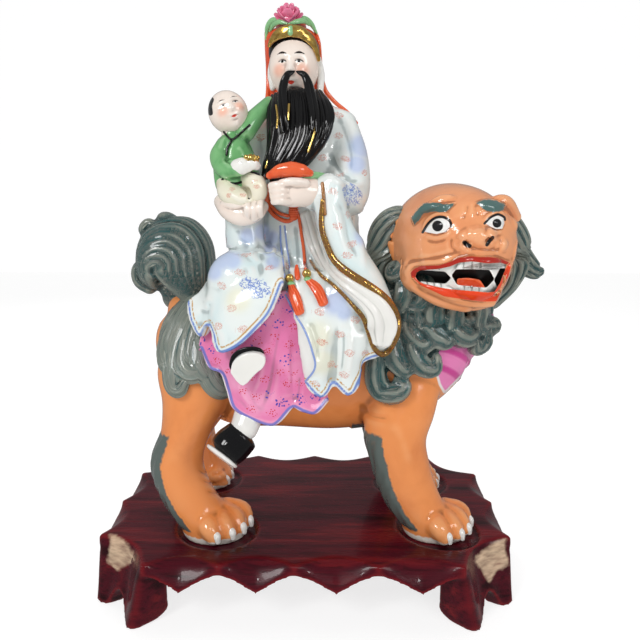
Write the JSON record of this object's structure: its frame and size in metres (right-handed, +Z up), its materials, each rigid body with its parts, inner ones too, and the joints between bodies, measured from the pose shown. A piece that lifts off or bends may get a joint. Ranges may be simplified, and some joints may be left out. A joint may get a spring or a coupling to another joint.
{
  "type": "porcelain figure",
  "caption": "Glazed porcelain figure of a robed bearded rider with a child, sitting sideways on a lion beast, on a scalloped rosewood stand.",
  "frame": {"origin": "on the floor, under the middle of the whole object's box", "axes": "+Z up, -Y towards the viewer, +X towards the lion's head"},
  "size_m": [0.358, 0.211, 0.453],
  "materials": {
    "porcelain": "glossy overglaze enamels on white porcelain",
    "rosewood": "dark red lacquered rosewood, glossy"
  },
  "bodies": {
    "root": {"porcelain_figure": "porcelain", "wooden_stand": "rosewood"}
  },
  "joints": []
}
